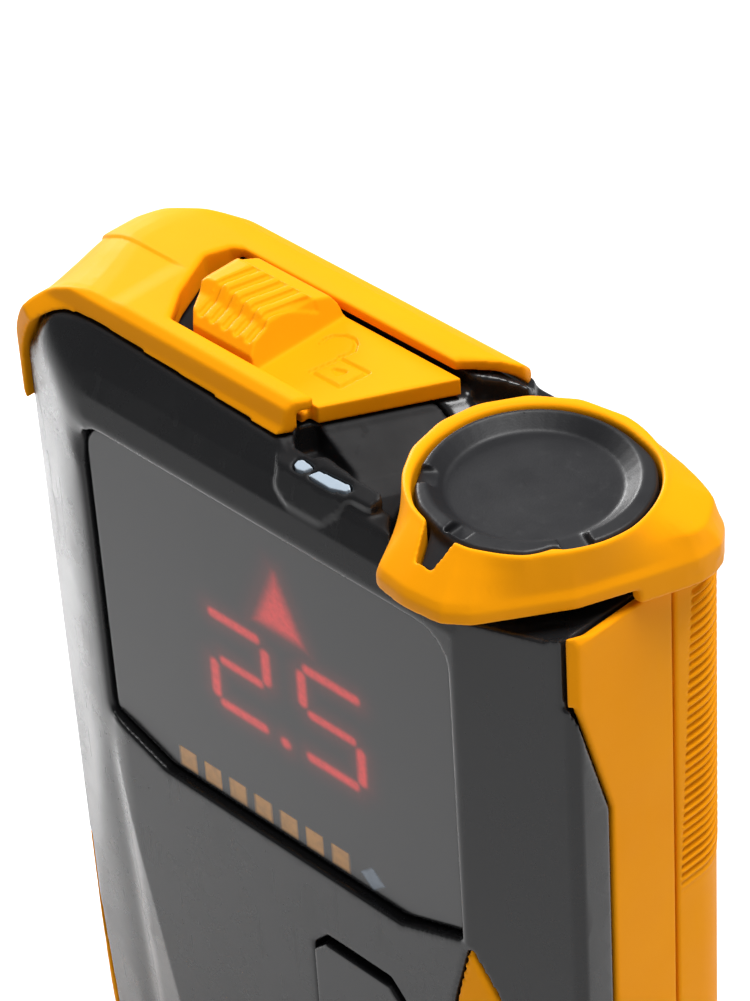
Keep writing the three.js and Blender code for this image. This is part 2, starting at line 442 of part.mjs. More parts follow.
// shoulder of the apron at the right, as [angle, radius, height]; elsewhere the apron is straight
const CREST = [[-10, 0, 0], [12, 0.35, 0], [25, 1, 117.75], [38, 1, 118.0], [45, 1, 118.15], [51, 1, 118.55], [58, 1, 119.0], [65, 1, 119.45], [72, 0.6, 0], [84, 0, 0]];
const CRESTR = [[25, 14.6], [38, 14.85], [45, 14.0], [51, 13.1], [58, 12.4], [65, 11.85]];
function lerpT(tab, a, k = 1) {
  if (a <= tab[0][0]) return tab[0][k];
  for (let i = 0; i < tab.length - 1; i++) if (a <= tab[i + 1][0]) {
    const t = (a - tab[i][0]) / (tab[i + 1][0] - tab[i][0]);
    return tab[i][k] + t * (tab[i + 1][k] - tab[i][k]);
  }
  return tab[tab.length - 1][k];
}
function crest(phi) {
  let a = (phi * 180) / Math.PI;
  while (a > 180) a -= 360;
  const w = lerpT(CREST, a), r0 = rimR(phi), r1 = rb(phi) - 0.35;
  const rs = r0 + 0.5 * (r1 - r0), zs = 119.85 + 0.5 * (116.3 - 119.85);
  const zt = [[25, 117.75], [38, 118.0], [45, 118.15], [51, 118.55], [58, 119.0], [65, 119.45]];
  const rc = Math.min(lerpT(CRESTR, a), r1), zc = lerpT(zt, a);
  return [rs + w * (rc - rs), zs + w * (zc - zs)];
}
const rb = (p) => rayRadius(p);
const rimR = (p) => Math.min(Math.max(10.95, rin(p) + 0.55), rb(p) - 0.15);
let skirt = ringLoft([
  (p) => [rin(p), 119.75], (p) => [rin(p) + 0.2, KTOP], (p) => [rimR(p) - 0.15, KTOP], (p) => [rimR(p), 119.85], crest,
  (p) => [rb(p) - 0.35, 116.3], (p) => [rb(p), 115.5], (p) => [rb(p), 114.3], (p) => [rin(p), 114.3],
], 120);
const lug2 = ringLoft([(p) => [10.9, 114.6], (p) => [rb(p), 114.6], (p) => [rb(p), 112.8], (p) => [Math.min(rb(p) - 1.0, 11.4), 112.8]], 72)
  .intersect(exZ([[KX, KY], ...arc(KX, KY, 20, -2, 58, 8)], 110, 116));
skirt = skirt.add(lug2);
const notchPts = (o) => [[-3.6 - o, -8.6], [-2.3 - o, -10.3], [-1.1 - o, -12.9 - o], [0.7 + o, -12.9 - o], [1.7 + o, -10.4], [2.5 + o, -8.6]].map(([x, y]) => [x + KX, y + KY]);
skirt = skirt.subtract(exZ(notchPts(0), 115.4, 125));
let disc = lathe([[0, 116.8], [2.8, 116.8], [2.8, 112.9], [4.6, 112.9], [4.6, 117], [8.2, 117], [8.2, 113.9], [9.15, 113.9], [9.15, 119.9], [8.9, 119.9], [7.5, KFLOOR], [0, KFLOOR]], KX, KY, 48);
disc = disc.add(ringLoft([(p) => [8.6, 114.0], (p) => [rin(p) - 0.28, 114.0], (p) => [rin(p) - 0.28, 119.6], (p) => [rin(p) - 0.5, 119.85], (p) => [9.0, 119.9], (p) => [8.6, 119.0]], 120));
const pointer = exZ(notchPts(-0.3), 115.8, 125).intersect(exX([[-14.4, 115.8], [-13.9, 117.1], [-9.3, 119.6], [-8.0, 119.6], [-8.0, 115.8]], 0, 50));
disc = disc.add(pointer.subtract(cyl('z', 9.0, 110, 125, KX, KY, 48)));
for (const [a, w, zf] of [[-140, 2.3, 119.2], [-87, 2.2, 118.9], [-26, 2.6, 118.75]]) {
  const g = new THREE.BoxGeometry(a === -87 ? 3.0 : a === -26 ? 6.0 : 3.6, w, 4);
  g.translate(a === -87 ? 8.6 : a === -26 ? 10.0 : 8.8, 0, zf + 2);
  g.rotateZ(a * Math.PI / 180);
  g.translate(KX, KY, 0);
  disc = disc.subtract(solid(g));
}
const shaft = cyl('z', 2.3, 101.2, 116.4, KX, KY, 20);

// ---- scene graph ----------------------------------------------------------------------------------
const M = (color, roughness, metalness = 0) => new THREE.MeshStandardMaterial({ color, roughness, metalness });
const black_pl = M(0x232325, 0.38), yellow = M(0xffb412, 0.5), smoke = M(0x55555a, 0.25), rubber = M(0x1a1a1b, 0.85);
const steel = M(0xb8bcc0, 0.35, 1), brass = M(0xc8a24a, 0.35, 1), pcb = M(0x1e5a36, 0.55), ferrite = M(0x2c2c30, 0.6);
const copper = M(0xb5653a, 0.35, 0.9), white = M(0xdfe7ee, 0.3), red = M(0xb01818, 0.4), foil = M(0x6f7479, 0.35, 0.6);
const group = new THREE.Group();
function put(name, m, mat) {
  if (m.volume() <= 0) throw new Error('empty ' + name);
  const out = m.getMesh();
  const g = new THREE.BufferGeometry();
  const np = out.numProp, n = out.vertProperties.length / np;
  const pos = new Float32Array(n * 3);
  for (let i = 0; i < n; i++) for (let k = 0; k < 3; k++) pos[i * 3 + k] = out.vertProperties[i * np + k];
  g.setAttribute('position', new THREE.BufferAttribute(pos, 3));
  g.setIndex(new THREE.BufferAttribute(new Uint32Array(out.triVerts), 1));
  const mesh = new THREE.Mesh(g, mat);
  mesh.name = name;
  group.add(mesh);
}
put('front_shell', front, black_pl);
put('rear_shell', rear, black_pl);
put('top_cap', cap, yellow);
put('side_grip_right_front', gripRF, yellow);
put('side_grip_right_rear', gripRR, yellow);
put('side_grip_left', gripL, yellow);
put('bottom_bumper', bumper, yellow);
put('leash_lug', lug, black_pl);
put('shell_seal', sealRing, rubber);

put('display_window', exY(winPts(-GAP), WIN.y, WIN.y + WIN.t), smoke);
put('display_board', box(-18.7, 18.7, -8.3, -7.1, 76, 107.5), pcb);
const seg = (x0, x1, z0, z1) => box(x0, x1, -9.7, -8.6, z0, z1);
put('led_digit_left', seg(-8.6, 0.2, 84, 96), red);
put('led_digit_right', seg(2.4, 11.2, 84, 96), red);
put('led_arrow', exY([[-2.4, 97.2], [4.4, 97.2], [1.0, 104.4]], -9.7, -8.6), red);

put('status_light_small', lightCut(lightS, 0, 114.8), white);
put('status_light_large', lightCut(lightL, 0, 114.8), white);

let button = exY(btnPts(0), -12.6, -8.9).add(exY(btnPts(0.9), -8.55, -8.0)).add(exY(btnPts(-1.2), -9.2, -8.0));
put('option_button', button, black_pl);
put('button_membrane', exY(btnPts(1.2), -7.0, -6.5), rubber);
put('dome_switch', box(7.2, 12.0, -6.35, -5.75, 56.4, 61.2), steel);
put('main_board', box(-27.5, 27.5, -5.5, -4.1, 26, 67.5), pcb);
put('speaker', cyl('y', 9.5, -8.6, -5.9, 0, 30.2, 32).subtract(cyl('y', 6.5, -9.0, -7.9, 0, 30.2, 32)), foil);

put('knob_skirt', skirt, yellow);
put('knob_disc', disc, black_pl);
put('knob_shaft', shaft, steel);
put('knob_oring', lathe([[2.62, 110.95], [3.0, 110.9], [3.6, 111.2], [3.6, 111.7], [3.0, 112.0], [2.62, 111.9], [2.62, 110.95]], KX, KY, 20), rubber);
put('selector_switch', box(KX - 5.6, KX + 5.6, KY - 5.2, KY + 4.0, 97.2, 104.0).subtract(cyl('z', 2.65, 100.8, 110, KX, KY, 20)), foil);
put('switch_board', box(KX - 6.6, KX + 5.6, KY - 4.8, KY + 7.0, 95.6, 96.9), pcb);
put('slide_lock', slider, yellow);

let door = exY(doorPts(0), DOOR.y0, YB)
  .subtract(cyl('x', 1.0, -30, 30, HINGE.y, HINGE.z, 12))
  .subtract(cyl('y', 4.4, 10.6, 20, 0, COIN.z, 28)).subtract(cyl('y', 1.95, 0, 20, 0, COIN.z, 20));
for (let i = 0; i < 4; i++) door = door.subtract(box(-9, 9, 11.9, 14, 24 + i * 3.2, 25.2 + i * 3.2));
put('battery_door', door, black_pl);
put('door_hinge_pin', cyl('x', HINGE.r, -21.2, 21.2, HINGE.y, HINGE.z, 12), steel);
put('coin_screw', cyl('y', 4.1, 10.9, 12.2, 0, COIN.z, 28).add(cyl('y', 1.6, 7.2, 11.2, 0, COIN.z, 20)).subtract(box(-3.2, 3.2, 11.4, 14, COIN.z - 0.7, COIN.z + 0.7)), steel);
put('door_seal', sealDoor, rubber);
for (let i = 0; i < 3; i++) {
  const x = (i - 1) * CELL.pitch, up = i !== 1;
  const body = cyl('z', CELL.r, CELL.z0 + (up ? 0 : 0.9), CELL.z1 - (up ? 0.9 : 0), x, CELL.y, 24);
  const nub = up ? cyl('z', 1.9, CELL.z1 - 1.0, CELL.z1, x, CELL.y, 12) : cyl('z', 1.9, CELL.z0, CELL.z0 + 1.0, x, CELL.y, 12);
  put('battery_cell_' + (i + 1), body.add(nub), foil);
}
put('battery_contact_top', box(-15.6, 15.6, 1.0, 7.6, 64.3, 65.1), steel);
put('battery_contact_bottom', box(-15.6, 15.6, 1.0, 7.6, 18.2, 19.0), steel);

put('antenna_rod_long', cyl('z', 2.2, 32, 92, -24.6, 2.2, 16), ferrite);
put('antenna_coil_long', cyl('z', 3.4, 52, 74, -24.6, 2.2, 20).subtract(cyl('z', 2.5, 40, 90, -24.6, 2.2, 16)), copper);
put('antenna_rod_short', cyl('x', 2.2, -18, 12, 3.4, 101.5, 16), ferrite);
put('antenna_coil_short', cyl('x', 3.4, -12, 4, 3.4, 101.5, 20).subtract(cyl('x', 2.5, -30, 30, 3.4, 101.5, 16)), copper);
put('antenna_coil_depth', cyl('y', 6.5, -2.0, 6.0, 4, 83, 24).subtract(cyl('y', 4.0, -10, 10, 4, 83, 20)), copper);
SCREWS.forEach(([x, z], i) => put('shell_screw_' + (i + 1),
  cyl('y', 2.3, 9.8, 11.3, x, z, 14).add(cyl('y', 1.2, -4.5, 10.5, x, z, 10)), steel));
export default group;
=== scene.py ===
import json
import math

import bmesh
import bpy
import numpy as np
from mathutils import Matrix, Vector
from mathutils.bvhtree import BVHTree


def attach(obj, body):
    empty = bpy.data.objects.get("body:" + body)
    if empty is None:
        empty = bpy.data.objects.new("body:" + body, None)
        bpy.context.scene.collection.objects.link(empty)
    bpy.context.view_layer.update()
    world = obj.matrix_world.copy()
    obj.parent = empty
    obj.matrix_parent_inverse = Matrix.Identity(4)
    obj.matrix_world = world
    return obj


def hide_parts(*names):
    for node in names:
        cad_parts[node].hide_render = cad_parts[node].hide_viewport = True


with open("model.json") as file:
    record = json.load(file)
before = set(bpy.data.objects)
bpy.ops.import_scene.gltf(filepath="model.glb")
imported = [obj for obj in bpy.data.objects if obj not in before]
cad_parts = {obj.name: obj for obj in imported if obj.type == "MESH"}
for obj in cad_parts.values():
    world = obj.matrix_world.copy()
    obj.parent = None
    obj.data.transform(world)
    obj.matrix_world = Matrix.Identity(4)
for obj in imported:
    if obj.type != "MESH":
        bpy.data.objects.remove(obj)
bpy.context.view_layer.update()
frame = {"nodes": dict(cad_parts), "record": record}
NODES = frame["nodes"]
RECORD = frame["record"]
MM = 0.001
scene = bpy.context.scene
BODY = {n: b for b, ns in RECORD["behaviour"]["bodies"].items() for n in ns}
KX, KY = 22.8, -0.8
HW, HL = 34.2, 33.8


# ------------------------------------------------------------------ mesh helpers, in millimetres
def node_mesh(name):
    me = NODES[name].data
    co = np.zeros(len(me.vertices) * 3, np.float32)
    me.vertices.foreach_get("co", co)
    co = co.reshape(-1, 3).astype(float) / MM
    faces = [tuple(p.vertices) for p in me.polygons]
    bm = bmesh.new()
    vs = [bm.verts.new(c) for c in co]
    for f in faces:
        try:
            bm.faces.new([vs[i] for i in f])
        except ValueError:
            pass
    bmesh.ops.remove_doubles(bm, verts=bm.verts, dist=1e-4)
    return bm


def hull(points):
    bm = bmesh.new()
    for p in points:
        bm.verts.new(p)
    r = bmesh.ops.convex_hull(bm, input=bm.verts)
    extra = [e for e in r["geom_interior"] if isinstance(e, bmesh.types.BMVert)]
    if extra:
        bmesh.ops.delete(bm, geom=extra, context="VERTS")
    bmesh.ops.recalc_face_normals(bm, faces=bm.faces)
    return bm


def prism(pts, lo, hi, axis="z"):
    """Outline swept along an axis: pts are (x, y) for z, (y, z) for x, (x, z) for y."""
    def at(p, h):
        return {"z": (p[0], p[1], h), "x": (h, p[0], p[1]), "y": (p[0], h, p[1])}[axis]
    bm = bmesh.new()
    a = [bm.verts.new(at(p, lo)) for p in pts]
    b = [bm.verts.new(at(p, hi)) for p in pts]
    n = len(pts)
    bm.faces.new(a)
    bm.faces.new(b[::-1])
    for i in range(n):
        bm.faces.new([a[i], b[i], b[(i + 1) % n], a[(i + 1) % n]])
    bmesh.ops.recalc_face_normals(bm, faces=bm.faces)
    return bm


def temp(bm, name="tmp"):
    me = bpy.data.meshes.new(name)
    bm.to_mesh(me)
    bm.free()
    ob = bpy.data.objects.new(name, me)
    scene.collection.objects.link(ob)
    return ob


def drop(ob):
    me = ob.data
    bpy.data.objects.remove(ob)
    bpy.data.meshes.remove(me)


def apply_mods(ob):
    bpy.context.view_layer.update()
    dg = bpy.context.evaluated_depsgraph_get()
    me = bpy.data.meshes.new_from_object(ob.evaluated_get(dg))
    old = ob.data
    ob.modifiers.clear()
    ob.data = me
    bpy.data.meshes.remove(old)
    return ob


def boolean(ob, other, op):
    m = ob.modifiers.new("b", "BOOLEAN")
    m.operation, m.solver, m.object = op, "EXACT", other
    apply_mods(ob)
    drop(other)
    return ob


def join(bms):
    out = bmesh.new()
    for b in bms:
        me = bpy.data.meshes.new("j")
        b.to_mesh(me)
        b.free()
        out.from_mesh(me)
        bpy.data.meshes.remove(me)
    return out


def coords(me):
    co = np.zeros(len(me.vertices) * 3, np.float32)
    me.vertices.foreach_get("co", co)
    return co.reshape(-1, 3).astype(float)


def set_coords(me, co):
    me.vertices.foreach_set("co", co.astype(np.float32).ravel())
    me.update()


def edges(me):
    e = np.zeros(len(me.edges) * 2, np.int32)
    me.edges.foreach_get("vertices", e)
    return e.reshape(-1, 2)


def normals(me):
    n = np.zeros(len(me.vertices) * 3, np.float32)
    me.vertex_normals.foreach_get("vector", n)
    return n.reshape(-1, 3).astype(float)


def laplace(co, e, n, lam=0.5, weight=None):
    deg = np.bincount(e.ravel(), minlength=len(co)).astype(float)
    deg[deg == 0] = 1
    for _ in range(n):
        s = np.zeros_like(co)
        for k in range(3):
            s[:, k] = np.bincount(e[:, 0], co[e[:, 1], k], len(co)) + np.bincount(e[:, 1], co[e[:, 0], k], len(co))
        d = s / deg[:, None] - co
        co = co + lam * (d if weight is None else d * weight[:, None])
    return co


def ease(co, e, n, weight):
    """laplace() on the vertices with a weight only; the rest stay."""
    near = (weight[e[:, 0]] > 0) | (weight[e[:, 1]] > 0)
    ids, flat_e = np.unique(e[near].ravel(), return_inverse=True)
    if not len(ids):
        return co
    inner = weight[ids] > 0
    sub = laplace(co[ids], flat_e.reshape(-1, 2), n, 0.5, np.where(inner, weight[ids], 0.0))
    co = co.copy()
    co[ids] = sub
    return co


def smoothstep(a, b, x):
    """0 at a, 1 at b, in either direction."""
    t = np.clip((x - a) / (b - a), 0, 1)
    return t * t * (3 - 2 * t)


def edge_wear(me):
    """How far each vertex stands out of its neighbours, along its normal, as a share: 0.5 is flat."""
    co, e, n = coords(me), edges(me), normals(me)
    deg = np.maximum(np.bincount(e.ravel(), minlength=len(co)), 1)
    d = co[e[:, 1]] - co[e[:, 0]]
    ln = np.linalg.norm(d, axis=1) + 1e-9
    out = -(d * n[e[:, 0]]).sum(1) / ln
    back = (d * n[e[:, 1]]).sum(1) / ln
    c = (np.bincount(e[:, 0], out, len(co)) + np.bincount(e[:, 1], back, len(co))) / deg
    c = laplace(c[:, None].repeat(3, 1), e, 1)[:, 0]
    v = np.clip(0.5 + c * 1.6, 0, 1)
    a = me.attributes.new("wear", "FLOAT", "POINT")
    a.data.foreach_set("value", v.astype(np.float32))


def finish_piece(ob, node_names, mat, body, ratio=None, weighted=True, mark=None):
    me = ob.data
    if ratio and ratio < 1:
        m = ob.modifiers.new("d", "DECIMATE")
        m.ratio = ratio
        m.use_collapse_triangulate = True
        apply_mods(ob)
        me = ob.data
    set_coords(me, coords(me) * MM)
    me.polygons.foreach_set("use_smooth", [True] * len(me.polygons))
    edge_wear(me)
    if mark:
        a = me.attributes.new("matte", "FLOAT", "POINT")
        a.data.foreach_set("value", mark(coords(me) / MM, normals(me)).astype(np.float32))
    me.materials.clear()
    me.materials.append(mat)
    if weighted:
        w = ob.modifiers.new("wn", "WEIGHTED_NORMAL")
        w.mode, w.weight, w.keep_sharp = "FACE_AREA", 50, False
    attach(ob, body)
    if node_names:
        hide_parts(*node_names)
    return ob


def flatten(co, nr, tree, reach):
    """Put vertices that are already nearly on a face of the CAD piece exactly on it, and leave the eased edges."""
    for i, c in enumerate(co):
        if -30.8 < c[0] < 30.8 and -8.8 < c[1] < 8.2 and 14.6 < c[2] < 108.8:
            continue
        p, n, _, d = tree.find_nearest(c, reach)
        if p is not None and n[0] * nr[i, 0] + n[1] * nr[i, 1] + n[2] * nr[i, 2] > 0.985:
            k = 1.0 if d < reach * 0.4 else (reach - d) / (reach * 0.6)
            co[i] = c + (np.array(p) - c) * k
    return co


def corners(co):
    """True round back corners instead of the CAD piece's facets."""
    for cx, sx in ((HW - 5.7, 1), (-HL + 5.7, -1)):
        dx, dy = (co[:, 0] - cx) * sx, co[:, 1] - 6.6
        r = np.hypot(dx, dy)
        m = (dx > 0) & (dy > 0) & (r > 5.5) & (r < 5.74) & (co[:, 2] > 9) & (co[:, 2] < 111)
        k = np.where(m, 5.7 / np.maximum(r, 1e-6), 1.0)
        co[:, 0] = np.where(m, cx + sx * dx * k, co[:, 0])
        co[:, 1] = np.where(m, 6.6 + dy * k, co[:, 1])
    return co


def soften(name, node, voxel, smooth, mat, ratio=0.2, add=(), cut=(), shape=None, lam=0.5, body=None, flat=0.0, mark=None):
    """The CAD node with its edges rounded: remeshed finely, eased, shaped and thinned out again."""
    bm = node_mesh(node)
    tree = BVHTree.FromBMesh(bm) if flat else None
    ob = temp(bm, name)
    for c in cut:
        boolean(ob, temp(c), "DIFFERENCE")
    for a in add:
        boolean(ob, temp(a), "UNION")
    v = voxel * 1.0
    m = ob.modifiers.new("r", "REMESH")
    m.mode, m.voxel_size, m.adaptivity = "VOXEL", v, 0.0
    apply_mods(ob)
    me = ob.data
    co = laplace(coords(me), edges(me), smooth, lam)
    if flat:
        set_coords(me, co)
        co = flatten(co, normals(me), tree, flat)
    co = corners(co)
    if shape:
        set_coords(me, co)
        co = shape(co, normals(me), me)
    set_coords(me, co)
    return finish_piece(ob, [node], mat, body or BODY[node], ratio, mark=mark)


# ------------------------------------------------------------------ materials
def new_mat(name):
    m = bpy.data.materials.new(name)
    m.use_nodes = True
    nt = m.node_tree
    nt.nodes.clear()
    out = nt.nodes.new("ShaderNodeOutputMaterial")
    b = nt.nodes.new("ShaderNodeBsdfPrincipled")
    nt.links.new(b.outputs["BSDF"], out.inputs["Surface"])
    return m, nt, b


def tex_coord(nt, scale=(1, 1, 1)):
    tc = nt.nodes.new("ShaderNodeTexCoord")
    mp = nt.nodes.new("ShaderNodeMapping")
    mp.inputs["Scale"].default_value = scale
    nt.links.new(tc.outputs["Object"], mp.inputs["Vector"])
    return mp.outputs["Vector"]


def noise(nt, vec, scale, detail=3, rough=0.55):
    n = nt.nodes.new("ShaderNodeTexNoise")
    n.inputs["Scale"].default_value = scale
    n.inputs["Detail"].default_value = detail
    n.inputs["Roughness"].default_value = rough
    nt.links.new(vec, n.inputs["Vector"])
    return n.outputs["Fac"]


def ramp(nt, fac, lo, hi, a=0.0, b=1.0):
    r = nt.nodes.new("ShaderNodeMapRange")
    r.inputs["From Min"].default_value, r.inputs["From Max"].default_value = lo, hi
    r.inputs["To Min"].default_value, r.inputs["To Max"].default_value = a, b
    nt.links.new(fac, r.inputs["Value"])
    return r.outputs["Result"]


def mathn(nt, op, a, b=None):
    n = nt.nodes.new("ShaderNodeMath")
    n.operation = op
    for i, v in enumerate((a, b)):
        if v is None:
            continue
        if isinstance(v, (int, float)):
            n.inputs[i].default_value = v
        else:
            nt.links.new(v, n.inputs[i])
    return n.outputs[0]


def mix_col(nt, fac, a, b):
    n = nt.nodes.new("ShaderNodeMix")
    n.data_type = "RGBA"
    for sock, v in (("A", a), ("B", b)):
        i = [s for s in n.inputs if s.name == sock and s.type == "RGBA"][0]
        if isinstance(v, tuple):
            i.default_value = (*v, 1)
        else:
            nt.links.new(v, i)
    nt.links.new(fac, n.inputs[0])
    return [s for s in n.outputs if s.type == "RGBA"][0]


def attr(nt, name):
    n = nt.nodes.new("ShaderNodeAttribute")
    n.attribute_name = name
    return n.outputs["Fac"]


def bump(nt, height, strength, dist, normal=None):
    n = nt.nodes.new("ShaderNodeBump")
    n.inputs["Strength"].default_value = strength
    n.inputs["Distance"].default_value = dist
    nt.links.new(height, n.inputs["Height"])
    if normal is not None:
        nt.links.new(normal, n.inputs["Normal"])
    return n.outputs["Normal"]


def plastic(name, base, dark, worn, rough, rough_var, grain, grain_mm, spec=0.5, wear_amt=1.0, scuff=0.25, tint=None, matte=False):
    m, nt, b = new_mat(name)
    v = tex_coord(nt)
    big = noise(nt, v, 60, 3)
    fine = noise(nt, v, 1000 / grain_mm, 2, 0.6)
    mid = noise(nt, v, 420, 4, 0.6)
    col = mix_col(nt, ramp(nt, big, 0.3, 0.72), base, dark)
    w = attr(nt, "wear")
    edge = mathn(nt, "MULTIPLY", ramp(nt, w, 0.62, 0.95), ramp(nt, mid, 0.42, 0.66))
    edge = mathn(nt, "MULTIPLY", edge, wear_amt)
    col = mix_col(nt, edge, col, worn)
    nt.links.new(col, b.inputs["Base Color"])
    # handling marks: thin streaks that only change the gloss
    sv = tex_coord(nt, (1.0, 1.0, 0.12))
    streak = ramp(nt, noise(nt, sv, 900, 2, 0.5), 0.62, 0.72)
    spots = ramp(nt, noise(nt, v, 150, 5, 0.65), 0.35, 0.7)
    r = mathn(nt, "ADD", ramp(nt, spots, 0, 1, rough - rough_var, rough + rough_var), mathn(nt, "MULTIPLY", streak, scuff * 0.25))
    r = mathn(nt, "ADD", r, mathn(nt, "MULTIPLY", edge, 0.08))
    if matte:
        mk = attr(nt, "matte")
        r = mathn(nt, "ADD", r, mathn(nt, "MULTIPLY", mk, 0.32))
        nt.links.new(ramp(nt, mk, 0, 1, spec, 0.17), b.inputs["Specular IOR Level"])
    else:
        b.inputs["Specular IOR Level"].default_value = spec
    nt.links.new(r, b.inputs["Roughness"])
    if tint:
        b.inputs["Specular Tint"].default_value = (*tint, 1)
    h = mathn(nt, "ADD", fine, mathn(nt, "MULTIPLY", mid, 0.6))
    nt.links.new(bump(nt, h, 1.0, grain), b.inputs["Normal"])
    return m


YELLOW = plastic("overmould_yellow", (0.92, 0.335, 0.0035), (0.89, 0.31, 0.003), (0.96, 0.42, 0.03), 0.52, 0.05, 0.000011, 0.16, 0.05, 0.3, tint=(1.0, 0.62, 0.12))
YELLOW_HARD = plastic("knob_yellow", (0.93, 0.345, 0.0035), (0.90, 0.32, 0.003), (0.97, 0.44, 0.035), 0.44, 0.05, 0.000008, 0.14, 0.09, 0.25, tint=(1.0, 0.68, 0.2))
BLACK = plastic("shell_black", (0.0085, 0.0085, 0.0092), (0.0115, 0.0115, 0.0123), (0.035, 0.035, 0.037), 0.27, 0.04, 0.0000035, 0.18, 0.4, 0.35)
BLACK_FRONT = plastic("shell_black_front", (0.0085, 0.0085, 0.0092), (0.0115, 0.0115, 0.0123), (0.035, 0.035, 0.037), 0.27, 0.04, 0.0000035, 0.18, 0.4, 0.35, matte=True)
BLACK_DISC = plastic("disc_black", (0.011, 0.011, 0.0125), (0.015, 0.015, 0.0165), (0.05, 0.05, 0.053), 0.46, 0.06, 0.000009, 0.2, 0.3, 0.4)
RUBBER = plastic("rubber_black", (0.012, 0.012, 0.012), (0.016, 0.016, 0.016), (0.03, 0.03, 0.03), 0.7, 0.06, 0.00001, 0.2, 0.35, 0.4)


def metal(name, base, rough, aniso=0.0):
    m, nt, b = new_mat(name)
    v = tex_coord(nt)
    sv = tex_coord(nt, (1.0, 1.0, 0.05))
    n1 = noise(nt, sv, 1800, 3)
    n2 = noise(nt, v, 300, 4)
    col = mix_col(nt, ramp(nt, n2, 0.35, 0.7), base, tuple(c * 0.8 for c in base))
    nt.links.new(col, b.inputs["Base Color"])
    b.inputs["Metallic"].default_value = 1.0
    nt.links.new(ramp(nt, n1, 0.3, 0.7, rough - 0.07, rough + 0.1), b.inputs["Roughness"])
    nt.links.new(bump(nt, n1, 0.6, 0.000008), b.inputs["Normal"])
    return m


STEEL = metal("steel", (0.58, 0.58, 0.59), 0.28)
CAN = metal("metal_can", (0.62, 0.62, 0.63), 0.35)
COPPER = metal("copper_wire", (0.72, 0.30, 0.12), 0.3)


def simple(name, a, c, rough, metallic=0.0, scale=300):
    m, nt, b = new_mat(name)
    v = tex_coord(nt)
    n = noise(nt, v, scale, 4)
    nt.links.new(mix_col(nt, ramp(nt, n, 0.35, 0.65), a, c), b.inputs["Base Color"])
    nt.links.new(ramp(nt, n, 0.3, 0.7, rough - 0.06, rough + 0.06), b.inputs["Roughness"])
    b.inputs["Metallic"].default_value = metallic
    nt.links.new(bump(nt, n, 0.5, 0.00002), b.inputs["Normal"])
    return m


PCB = simple("circuit_board", (0.01, 0.10, 0.045), (0.015, 0.14, 0.06), 0.35)
FERRITE = simple("ferrite", (0.02, 0.02, 0.022), (0.035, 0.035, 0.036), 0.55)
CELL = simple("cell_wrap", (0.16, 0.17, 0.19), (0.2, 0.21, 0.23), 0.3, 0.2)
LIGHT = simple("light_clear", (0.44, 0.51, 0.58), (0.36, 0.44, 0.52), 0.2)
LED = simple("led_red", (0.5, 0.01, 0.01), (0.4, 0.01, 0.01), 0.3)

# ------------------------------------------------------------------ hidden and small CAD nodes keep their meshes
PLAIN = {"shell_seal": RUBBER, "button_membrane": RUBBER, "knob_oring": RUBBER, "door_seal": RUBBER,
         "display_board": PCB, "main_board": PCB, "switch_board": PCB,
         "led_digit_left": LED, "led_digit_right": LED, "led_arrow": LED,
         "dome_switch": STEEL, "speaker": CAN, "selector_switch": CAN, "knob_shaft": STEEL,
         "battery_contact_top": STEEL, "battery_contact_bottom": STEEL, "door_hinge_pin": STEEL,
         "antenna_rod_long": FERRITE, "antenna_rod_short": FERRITE, "antenna_coil_long": COPPER,
         "antenna_coil_short": COPPER, "antenna_coil_depth": COPPER,
         "battery_cell_1": CELL, "battery_cell_2": CELL, "battery_cell_3": CELL,
         "shell_screw_1": STEEL, "shell_screw_2": STEEL, "shell_screw_3": STEEL, "shell_screw_4": STEEL,
         "coin_screw": STEEL}
for n, m in PLAIN.items():
    o = NODES[n]
    o.data.materials.clear()
    o.data.materials.append(m)
    o.data.polygons.foreach_set("use_smooth", [False] * len(o.data.polygons))

# ------------------------------------------------------------------ the outside
def ribs(co, nr, me):
    """Grip ribs round the back corner on the right side."""
    x, y, z = co.T
    on = np.clip((nr[:, 0] * 0.9 + nr[:, 1] * 0.6), 0, 1)
    outer = (x > 33.6) | ((y > 6) & (np.hypot(x - 28.5, y - 6.6) > 5.2))
    left = np.interp(z, [75, 110.5], [3.9, 5.75])
    m = smoothstep(0, 0.35, y - left) * smoothstep(76, 79, z) * (1 - smoothstep(110.2, 110.7, z)) * smoothstep(27.0, 28.0, x)
    m = m * outer * smoothstep(0.3, 0.6, on)
    t = (z - 110.5) / 0.97
    f = t - np.floor(t)
    wave = np.clip(1.3 - np.abs(f - 0.5) * 3.2, 0, 1)
    return co + nr * (m * (0.10 - 0.44 * (1 - wave)))[:, None]


def stroke(p, pts, w):
    """Distance field of a line through pts, 1 inside the stroke."""
    d = np.full(len(p), 99.0)
    for a, b in zip(pts, pts[1:]):
        d = np.minimum(d, capsule(p, a, b))
    return 1 - smoothstep(w * 0.45, w, d)


def capsule(p, a, b):
    a, b = np.array(a), np.array(b)
    d = b - a
    t = np.clip(((p - a) @ d) / (d @ d), 0, 1)
    return np.linalg.norm(p - (a + t[:, None] * d), axis=1)


def lock_mark(co, nr, me):
    """Open padlock pressed into the slider's plate."""
    p = co[:, :2]
    top = (nr[:, 2] > 0.8) & (np.abs(co[:, 2] - 119.4) < 0.25)
    body = [(-1.51, 0.62), (1.8, 0.72), (1.46, -2.4), (-2.1, -2.42), (-1.51, 0.62)]
    bail = [(-4.45, 1.1), (-4.6, 1.9), (-4.4, 2.6), (-3.6, 3.3), (-2.7, 3.45), (-2.05, 3.1), (-1.45, 2.2), (-1.5, 1.5), (-1.75, 0.7)]
    hole = [(-0.75, -0.85), (0.15, -0.5), (0.05, -1.15), (-0.75, -0.85)]
    ink = np.maximum(np.maximum(stroke(p, body, 0.24), stroke(p, bail, 0.24)), stroke(p, hole, 0.3))
    return co - np.array([0, 0, 1.0]) * (0.28 * ink * top)[:, None]


